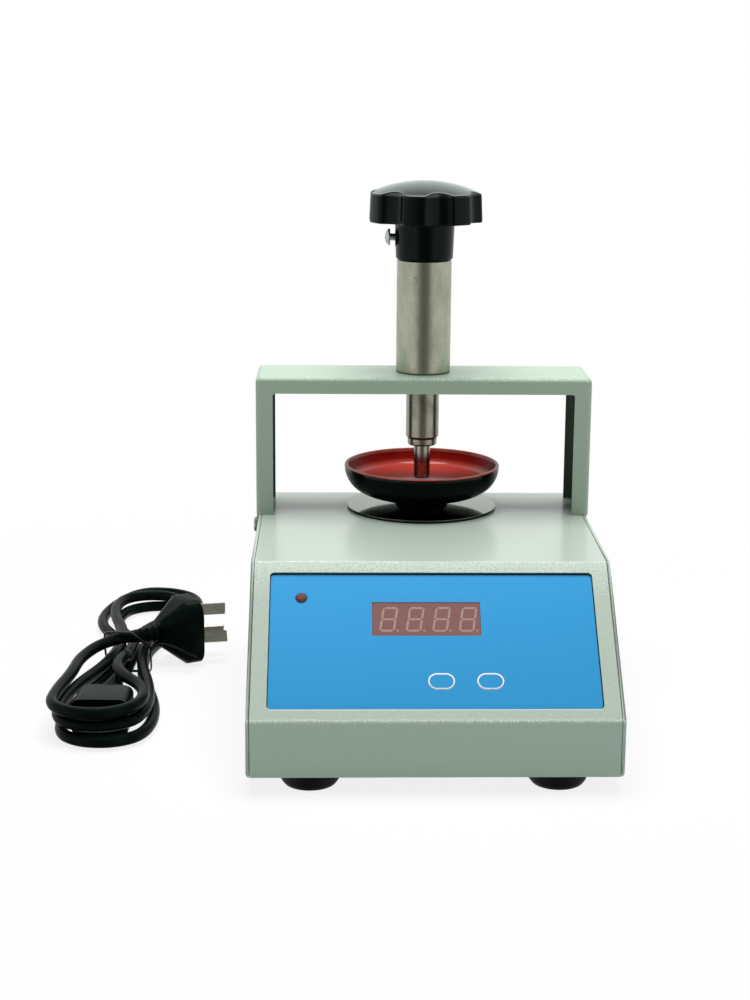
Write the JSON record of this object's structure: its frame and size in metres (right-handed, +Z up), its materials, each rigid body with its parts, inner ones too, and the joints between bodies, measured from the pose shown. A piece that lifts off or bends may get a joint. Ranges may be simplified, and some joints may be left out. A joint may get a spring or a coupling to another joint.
{
  "type": "particle strength tester",
  "caption": "Bench tester with a sloping panel housing, a gantry over a dish on a load disc, a star-knob screw ram and a tied mains lead.",
  "frame": {"origin": "on the bench, under the middle of the instrument without its loose mains lead", "axes": "+X the instrument's right seen from the front, +Y its back, +Z up"},
  "size_m": [0.2836, 0.302, 0.2695],
  "materials": {
    "housing_paint": "light grey-green powder coat, slightly textured",
    "gantry_paint": "light grey-green powder coat, smooth",
    "panel_plate": "mill finish",
    "panel_film": "sky-blue printed film",
    "key_film": "sky-blue embossed film with a white outline",
    "display_filter": "smoky red filter over unlit digits",
    "display_case": "moulded",
    "display_bars": "unlit diffusing bars",
    "led": "unlit smoky lens",
    "switch_plastic": "moulded",
    "circuit_board": "green solder mask",
    "component_black": "moulded",
    "zinc_steel": "zinc plated",
    "turned_steel": "turned and polished",
    "tube_steel": "stainless, blotchy polish",
    "disc_steel": "polished",
    "bronze": "turned",
    "knob_black": "moulded phenolic, glossy",
    "dish_enamel": "glossy black outside; the red inside is drawn in the scene",
    "cell_aluminium": "machined",
    "core_steel": "varnished laminations",
    "coil_tape": "yellow tape",
    "foot_rubber": "moulded",
    "inlet_plastic": "moulded",
    "pin_brass": "nickel plated",
    "fuse_glass": "clear",
    "rocker_plastic": "moulded",
    "cord_jacket": "extruded sheath",
    "lead_moulding": "overmoulded",
    "tie_plastic": "plastic-coated wire"
  },
  "bodies": {
    "instrument": {"board_feet": "zinc_steel", "board_parts": "component_black", "board_posts": "zinc_steel", "cell_block": "cell_aluminium", "cell_bolts": "zinc_steel", "chassis": "housing_paint", "dish": "dish_enamel", "display_board": "circuit_board", "display_module": "display_case", "display_segments": "display_bars", "display_window": "display_filter", "foot_front_left": "foot_rubber", "foot_front_right": "foot_rubber", "foot_rear_left": "foot_rubber", "foot_rear_right": "foot_rubber", "foot_screws": "zinc_steel", "gantry_frame": "gantry_paint", "gantry_nuts": "zinc_steel", "gantry_screws": "zinc_steel", "guide_tube": "tube_steel", "indicator_led": "led", "inlet_pins": "pin_brass", "key_switches": "switch_plastic", "lead_socket": "lead_moulding", "load_cell": "cell_aluminium", "load_disc": "disc_steel", "load_post": "turned_steel", "main_board": "circuit_board", "mains_cord": "cord_jacket", "mains_inlet": "inlet_plastic", "panel_film": "panel_film", "panel_plate": "panel_plate", "plug_body": "lead_moulding", "plug_pins": "pin_brass", "plug_relief": "lead_moulding", "rear_panel": "housing_paint", "rear_screws": "zinc_steel", "ring_nut": "zinc_steel", "socket_relief": "lead_moulding", "switch_body": "inlet_plastic", "thread_bush": "bronze", "top_cover": "housing_paint", "transformer_coil": "coil_tape", "transformer_core": "core_steel", "twist_tie": "tie_plastic"},
    "ram": {"swivel_collar": "turned_steel", "punch": "turned_steel"},
    "screw": {"spindle": "turned_steel", "star_knob": "knob_black", "knob_screw": "zinc_steel"},
    "peak_button": {"peak_key": "key_film"},
    "zero_button": {"zero_key": "key_film"},
    "rocker": {"power_rocker": "rocker_plastic"},
    "drawer": {"fuse_drawer": "inlet_plastic", "fuse": "fuse_glass"}
  },
  "joints": [
    {"name": "ram_travel", "type": "slide", "parent": "instrument", "child": "ram", "axis": [0, 0, 1], "range_m": [0, 0.025]},
    {"name": "screw_turn", "type": "hinge", "parent": "ram", "child": "screw", "pos_m": [0, 0.0724, 0.2], "axis": [0, 0, 1], "range_deg": [0, 3600]},
    {"name": "peak_press", "type": "slide", "parent": "instrument", "child": "peak_button", "axis": [0, 0.6302, -0.7765], "range_m": [0, 0.0005], "stiffness_N_per_m": 800, "springref_m": -0.0005},
    {"name": "zero_press", "type": "slide", "parent": "instrument", "child": "zero_button", "axis": [0, 0.6302, -0.7765], "range_m": [0, 0.0005], "stiffness_N_per_m": 800, "springref_m": -0.0005},
    {"name": "power_rock", "type": "hinge", "parent": "instrument", "child": "rocker", "pos_m": [-0.046, 0.1034, 0.042], "axis": [0, 0, 1], "range_deg": [0, 22]},
    {"name": "fuse_drawer_slide", "type": "slide", "parent": "instrument", "child": "drawer", "axis": [0, 1, 0], "range_m": [0, 0.015]}
  ],
  "couplings": [
    {"joint": "ram_travel", "follows": "screw_turn", "m_per_rad": 0.00039789}
  ]
}
